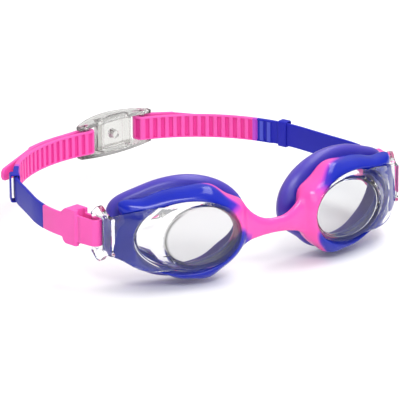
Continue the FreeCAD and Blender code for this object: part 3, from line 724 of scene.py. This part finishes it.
def make_lenses():
    """Each lens is one moulding of cup, wing and ear; its window is tinted darker and a painted shade line
    darkens the window's outer edge.
    """
    # the last color tints the window and paints the shade line along its outer edge
    material = clear_material("polycarbonate", (0.93, 0.94, 0.945), 0.0, 0.03, 1.42, 0.02,
                              (0.010, 0.011, 0.007))
    inside = cup_rings(-1, CUP_IN)
    offset, _, wide, tall, rise, yaw = CUP_IN[-1]
    plug = skin("plug", inside + [eye_ring(-1, (offset, 14.0, wide, wide, tall, tall, rise, yaw))])
    left = skin("left_clear_lens", cup_rings(-1, CUP_OUT) + inside[::-1])
    combine(left, combine(make_wing("wing", -1), plug, "DIFFERENCE"), "UNION")
    combine(left, make_ear("ear", -1), "UNION")
    left.data.validate()
    _, across, back, up = to_eye(read_points(left))
    _, _, wide, tall, rise, _ = CUP_OUT[0]
    ring = np.hypot(across / wide, (up - rise) / tall)
    front = back < 0.05
    # painted shade: a dark line along the window's outer edge, standing in for the dark look that refraction
    # gives the real edge
    rim_painted_shade = np.clip(1.8 - np.abs(ring - 0.925) / 0.045, 0.0, 1.0) * front * smoothstep(across / 12.0)
    paint(left, "edge", np.maximum(rim_painted_shade, WINDOW_SHADE * front * (ring < 1.0)))
    left.data.materials.clear()
    left.data.materials.append(material)
    for thing, side in ((left, "left"), (mirrored(left, "right_clear_lens"), "right")):
        finish_mesh(thing, 28.0)
        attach(thing, "frame")
        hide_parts(f"{side}_lens")


# ---------------------------------------------------------------- strap
# Half thickness and half height, the ribs' height, half width and pitch, and half the height of a cell;
# where the end block stops, its half thickness and the length of pink root past it; how many degrees
# more than half a turn the strap makes at the buckle, how far it takes to lie flat again, and the
# radius of its tip.
STRAP = {"half": 0.75, "tall": 5.25, "rib": 0.7, "rib_half": 0.95, "pitch": 3.7, "cell": 4.55,
         "block_end": 16.0, "block_half": 3.75, "stub": 13.5, "closing": 16.0, "merge": 14.0, "tongue": 1.9}
TIP_HALF = 0.75
# Each side's route is arcs (length, turn in degrees) to the buckle; distances run along it.
ROUTES = {
    -1: {"yaw": 16.0, "arcs": [(26, -27), (17, 2), (46.7, -46.9), (36.1, -32.2)], "turn_radius": 2.03,
         "keeper": 54.4, "join": 67.0, "tail": 59.0, "tail_ribs": 34.0, "tail_free": 24.0},
    1: {"yaw": 4.0, "arcs": [(24, 20.1), (24, -2), (59.4, 50.5), (17.9, 15.2)], "turn_radius": 2.85,
        "keeper": 58.3, "join": 72.6, "tail": 37.0, "tail_ribs": 14.0, "tail_free": 10.0},
}


class Route:
    """A plan curve of arcs from a start point and heading."""

    def __init__(self, point, heading):
        self.spans = []
        self.point, self.heading, self.length = np.array(point, float), heading, 0.0

    def add(self, arcs):
        for length, turn in arcs:
            self.spans.append((self.point, self.heading, length, math.radians(turn), self.length))
            self.point, self.heading = self.within(self.spans[-1], length)
            self.length += length
        return self

    @staticmethod
    def within(entry, along):
        point, heading, length, turn, _ = entry
        if abs(turn) < 1e-6:
            return point + np.array([math.cos(heading), math.sin(heading)]) * along, heading
        radius = length / turn
        centre = point + np.array([-math.sin(heading), math.cos(heading)]) * radius
        new = heading + turn * along / length
        return centre + np.array([math.sin(new), -math.cos(new)]) * radius, new

    def at(self, run):
        """Point and heading at a distance along the route."""
        for entry in self.spans:
            if run <= entry[4] + entry[2] + 1e-9:
                return self.within(entry, run - entry[4])
        return self.within(self.spans[-1], run - self.spans[-1][4])


def strap_route(side):
    """From the temple to the buckle, round its bar and back along the outside."""
    data = ROUTES[side]
    turn = math.radians(data["yaw"])
    pivot = JOINTS[f"{NAMES[side]}_strap_swing"]["pos_m"]
    along = np.array([side * math.sin(turn), math.cos(turn)])
    outward = np.array([side * math.cos(turn), -math.sin(turn)])
    flush = STRAP["block_half"] - STRAP["half"]
    start = np.array(pivot[:2]) / MM + along * STRAP["block_end"] + outward * flush
    route = Route(start, math.radians(90 - side * data["yaw"])).add(data["arcs"])
    data["total"] = route.length
    bend = abs(data["arcs"][-1][1]) / data["arcs"][-1][0]
    follow = data["tail"] - STRAP["merge"] - data["tail_free"]
    half_turn = 180 + STRAP["closing"]
    route.add([(math.radians(half_turn) * data["turn_radius"], -side * half_turn),
               (STRAP["merge"], -side * (STRAP["merge"] * bend - STRAP["closing"])),
               (follow, -side * follow * bend), (data["tail_free"], 0.0)])
    return route


def section(run, route, side, rib, margin, tall):
    """Outline across the strap: the ribbed face is on the given side of the route."""
    half, cell = STRAP["half"], min(STRAP["cell"], tall - 0.6)
    top = half + margin * STRAP["rib"]
    deep = half + rib * STRAP["rib"]
    face = [(-tall, top - 0.45), (-tall + 0.1, top - 0.14), (-tall + 0.4, top), (-cell - 0.12, top),
            (-cell + 0.16, deep), (-cell * 0.5, deep), (0, deep), (cell * 0.5, deep), (cell - 0.16, deep),
            (cell + 0.12, top), (tall - 0.4, top), (tall - 0.1, top - 0.14), (tall, top - 0.45)]
    plain = [(tall, -half + 0.35), (tall - 0.1, -half + 0.1), (tall - 0.35, -half), (0, -half),
             (-tall + 0.35, -half), (-tall + 0.1, -half + 0.1), (-tall, -half + 0.35)]
    point, heading = route.at(run)
    left = np.array([-math.sin(heading), math.cos(heading)]) * side
    return [(point[0] + left[0] * d, point[1] + left[1] * d, z) for z, d in face + plain]


def strap_stations(first, last, ribs, step=0.9):
    """Distances along the strap with the rib height at each."""
    edge = 0.13
    half = STRAP["rib_half"]
    stations = {}
    for run in np.arange(first, last + 1e-6, step):
        stations[round(float(run), 4)] = 0.0
    stations[round(float(last), 4)] = 0.0
    for centre in ribs:
        for key in [k for k in stations if abs(k - centre) < half + 0.35]:
            if first < key < last:
                del stations[key]
        for shift, rise in ((-half - edge, 0.0), (-half + edge, 0.93), (-half + 3 * edge, 1.0), (0.0, 1.0),
                            (half - 3 * edge, 1.0), (half - edge, 0.93), (half + edge, 0.0)):
            stations[round(float(centre + shift), 4)] = rise
    return sorted((run, rise) for run, rise in stations.items() if first - 1e-6 <= run <= last + 1e-6)


def ribbon(name, route, side, stations, margin_at, tall_at, seam=None, painted_highlight_ribs=False):
    """A strap through the stations; seam is (distance, reach) where its color runs into the next.

    A second attribute marks painted light: painted shade in the cells between ribs, or, with the rib flag
    set, a painted highlight on the ribs themselves.
    """
    rings = [section(run, route, side, rise, margin_at(run), tall_at(run)) for run, rise in stations]
    strap = skin(name, rings)
    cell = np.zeros(len(rings[0]))
    cell[4:9] = 1.0  # the points of a section that lie in a cell or on a rib
    # how much painted light each station takes: shade in the cells, or a highlight on the ribs when the rib
    # flag is set
    depth = np.array([margin_at(run) * (rise if painted_highlight_ribs else 1.0 - rise) for run, rise in stations])
    near = np.array([1.0 if seam and abs(run - seam[0]) < seam[1] else 0.0 for run, _ in stations])
    paint(strap, "painted_light", np.outer(depth, cell).ravel())
    paint(strap, "seam", np.repeat(near, len(cell)))
    return strap


def make_bands(routes, material):
    """The plain blue stretches, with two ribs before the pink."""
    for side, route in routes.items():
        join_at = ROUTES[side]["join"]
        ribs = [join_at - 0.6 * STRAP["pitch"], join_at - 1.6 * STRAP["pitch"]]

        def margin(run, ends=join_at):
            return float(smoothstep(np.array((run - ends + 8.6) / 2.0)))

        stations = strap_stations(STRAP["stub"], join_at, ribs)
        # the two ribs get a paler blue: a painted highlight
        band = ribbon(f"{NAMES[side]}_blue_band", route, side, stations, margin,
                      lambda run: STRAP["tall"], painted_highlight_ribs=True)
        finish(band, material, f"{NAMES[side]}_strap", "strap_blue", f"{NAMES[side]}_strap_band")


def make_ladders(routes, material):
    """The pink ribbed stretches, each with its tongue past the buckle."""
    for side, route in routes.items():
        data = ROUTES[side]
        turn_length = math.radians(180 + STRAP["closing"]) * data["turn_radius"]
        ribs_end = data["total"] + turn_length + data["tail_ribs"]
        first = data["join"] + 0.4 * STRAP["pitch"]
        ribs = list(np.arange(first, ribs_end, STRAP["pitch"]))
        tip = route.length

        def margin(run, ends=ribs_end):
            return float(1.0 - smoothstep(np.array((run - ends) / 1.0)))

        def tall(run, begins=ribs_end, ends=tip):
            """Half the tongue's height: it narrows from the last rib to a rounded tip."""
            radius = STRAP["tongue"]
            share = min(max((run - begins) / (ends - begins), 0.0), 1.0)
            half = STRAP["tall"] + (radius + TIP_HALF - STRAP["tall"]) * share
            left = max(ends - run, 0.0)
            if left >= radius:
                return half
            return half - radius + math.sqrt(max(radius ** 2 - (radius - left) ** 2, 0.0))

        radius = STRAP["tongue"]
        stations = [s for s in strap_stations(data["join"], tip, ribs) if s[0] < tip - radius]
        stations += [(tip - radius * (1 - math.sin(a)), 0.0) for a in np.linspace(0, math.pi / 2, 12)]
        # the cells between the ribs get a darker pink: painted shade
        ladder = ribbon(f"{NAMES[side]}_ribbed_strap", route, side, stations, margin, tall,
                        (data["join"], 2.3))
        finish(ladder, material, f"{NAMES[side]}_strap", "soft_pink", f"{NAMES[side]}_strap_ladder")


def finish(thing, material, body, slot, *nodes):
    """Gives a piece its shading, its material and its place in the frame."""
    finish_mesh(thing)
    thing.data.materials.clear()
    thing.data.materials.append(material)
    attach(thing, body)
    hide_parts(*nodes)


def half_circle(radius, count):
    """The half of a circle round the temple bar that lies ahead of it."""
    return [(radius * math.cos(a), radius * math.sin(a))
            for a in np.linspace(math.pi / 2, 3 * math.pi / 2, count)]


def make_strap_ends(routes, material):
    """The loop round each temple bar, the block behind it and the root of the strap: x runs back."""
    for side, route in routes.items():
        name = f"{NAMES[side]}_moulded_end"
        pivot = Vector(JOINTS[f"{NAMES[side]}_strap_swing"]["pos_m"]) / MM
        heading = math.radians(90 - side * ROUTES[side]["yaw"])
        place = Matrix.Translation(pivot) @ Matrix.Rotation(heading, 4, "Z")
        hole, outer = 1.6, 3.0
        bow = [(2.6, 3.2), (5.4, 3.55), (8.3, 2.8)]
        loop = bow[::-1] + half_circle(outer, 24) + [(x, -y) for x, y in bow]
        window = [(9.4, 1.9)] + half_circle(hole, 20) + [(9.4, -1.9)]
        half = STRAP["block_half"]
        outline = [(8.4, -half), (15.6, -half), (18.0, -half + 1.2), (18.0, half - 1.2), (15.6, half),
                   (8.4, half), (7.9, half - 0.5), (7.9, -half + 0.5)]
        block = prism("block", outline, -7.7, 7.7, place)
        for up in (-1, 1):
            corner = [(13.2, up * 8.6), (18.4, up * 4.9), (19.0, up * 9.0)]
            points = [place @ Vector((x, y, z)) for y in (-6.0, 6.0) for x, z in corner]
            combine(block, to_object("trim", points, prism_faces(len(corner))), "DIFFERENCE")
        body = prism(name, loop, -5.75, 5.75, place)
        combine(body, block, "UNION")
        combine(body, prism("window", window, -9.0, 9.0, place), "DIFFERENCE")
        stub = ribbon("stub", route, side, strap_stations(-1.6, STRAP["stub"], []), lambda run: 0.0,
                      lambda run: STRAP["tall"])
        whole = join(name, [body, stub])
        mould(whole, 0.24, 5)
        finish(whole, material, f"{NAMES[side]}_strap", "soft_pink", f"{NAMES[side]}_strap_end")


def round_rect(low, high, tall, radius, count=6):
    """A rounded rectangle from low to high across, and tall either way."""
    points = []
    for cx, cy, start in ((high - radius, tall - radius, 0), (low + radius, tall - radius, 90),
                          (low + radius, radius - tall, 180), (high - radius, radius - tall, 270)):
        for step in range(count + 1):
            angle = math.radians(start + 90 * step / count)
            points.append((cx + radius * math.cos(angle), cy + radius * math.sin(angle)))
    return points


KEEPER_WALL = 0.55
# Gap round the strap, more room on its outside, length, and distance past the CAD keeper's middle.
KEEPERS = {-1: (0.45, 0.8, 5.0, 0.0), 1: (0.2, 1.6, 4.4, 1.2)}


def make_keepers(routes, material):
    """The blue sleeves, with rounded ends."""
    wall = KEEPER_WALL
    for side, route in routes.items():
        gap, room, length, along = KEEPERS[side]
        point, heading = route.at(ROUTES[side]["keeper"] + along)
        inner, outer = -(STRAP["half"] + gap), STRAP["half"] + gap + room
        if side > 0:
            inner, outer = -outer, -inner
        high = STRAP["tall"] + gap
        place = Matrix.Translation((point[0], point[1], 0)) @ Matrix.Rotation(heading, 4, "Z")
        rings = []
        for x, grow in ((-0.5, wall - 0.25), (-0.44, wall), (0.0, wall), (0.44, wall), (0.5, wall - 0.25),
                        (0.5, 0.15), (0.46, 0.0), (0.0, 0.0), (-0.46, 0.0), (-0.5, 0.15)):
            loop = round_rect(inner - grow, outer + grow, high + grow, 0.5 + grow)
            rings.append([place @ Vector((x * length, y, z)) for y, z in loop])
        keeper = skin(f"{NAMES[side]}_sleeve", rings, ring_closed=True)
        finish(keeper, material, f"{NAMES[side]}_keeper", "strap_blue", f"{NAMES[side]}_keeper")


# ---------------------------------------------------------------- buckle
def make_buckle(routes):
    """Two bowed rails, two bars and a walled cell: x runs from the left bar to the right, y back."""
    left_bar = Vector(JOINTS["buckle_turn"]["pos_m"]) / MM
    data = ROUTES[1]
    point, heading = routes[1].at(data["total"])
    right_bar = Vector((point[0] + math.sin(heading) * data["turn_radius"],
                        point[1] - math.cos(heading) * data["turn_radius"], 0.0))
    middle, run = (left_bar + right_bar) / 2, right_bar - left_bar
    place = Matrix.Translation(middle) @ Matrix.Rotation(math.atan2(run.y, run.x), 4, "Z")
    reach = run.length / 2
    half, tall, rail, inner, end = 20.5, 7.5, 1.9, -2.3, 1.9
    bow_back, bow_up = 5.2, 1.1
    pieces = []
    for up in (-1, 1):
        rings = []
        for x in np.linspace(-half, half, 40):
            share = 1.0 - (x / half) ** 2
            near, far = inner + 0.6 * (1.0 - share), end + bow_back * share
            top = tall + bow_up * share
            loop = round_rect(near, far, rail / 2, 0.6)
            rings.append([place @ Vector((x, y, up * (top - rail / 2 + z))) for y, z in loop])
        pieces.append(skin("rail", rings))
    inside = tall - rail + 0.8
    radius = 1.2
    for sign in (-1, 1):
        bar = [(sign * reach + radius * math.cos(a), radius * math.sin(a))
               for a in np.linspace(0, 2 * math.pi, 24)[:-1]]
        pieces.append(prism("bar", bar, -inside, inside, place))
        x = sign * 8.0
        pieces.append(prism("wall", [(x - 0.75, -1.8), (x + 0.75, -1.8), (x + 0.75, 3.6), (x - 0.75, 3.6)],
                            -inside, inside, place))
    pieces.append(prism("face", [(-8, 2.1), (8, 2.1), (8, 3.4), (-8, 3.4)], -inside, inside, place))
    turn = np.linspace(0, 2 * math.pi, 28)[:-1]
    rings = [[place @ Vector((r * math.cos(a), y, r * math.sin(a))) for a in turn]
             for r, y in ((2.0, 2.6), (2.0, -0.9), (1.6, -1.3))]
    pieces.append(skin("boss", rings))
    whole = join("clear_buckle", pieces)
    mould(whole, 0.26, 4)
    material = clear_material("clear_acetal", (0.68, 0.68, 0.655), 0.14, 0.26, 1.42, 0.05)
    finish(whole, material, "buckle", "buckle_clear", "buckle")


make_camera()
make_studio()
make_surround()
make_skirts()
make_lenses()
pink = silicone("pink_silicone", *PINK, 0.42, 0.12, 0.3)
blue = silicone("blue_silicone", *BLUE, 0.48, 0.05, 0.2)
strap_routes = {side: strap_route(side) for side in NAMES}
make_strap_ends(strap_routes, pink)
make_bands(strap_routes, blue)
make_ladders(strap_routes, pink)
make_keepers(strap_routes, blue)
make_buckle(strap_routes)
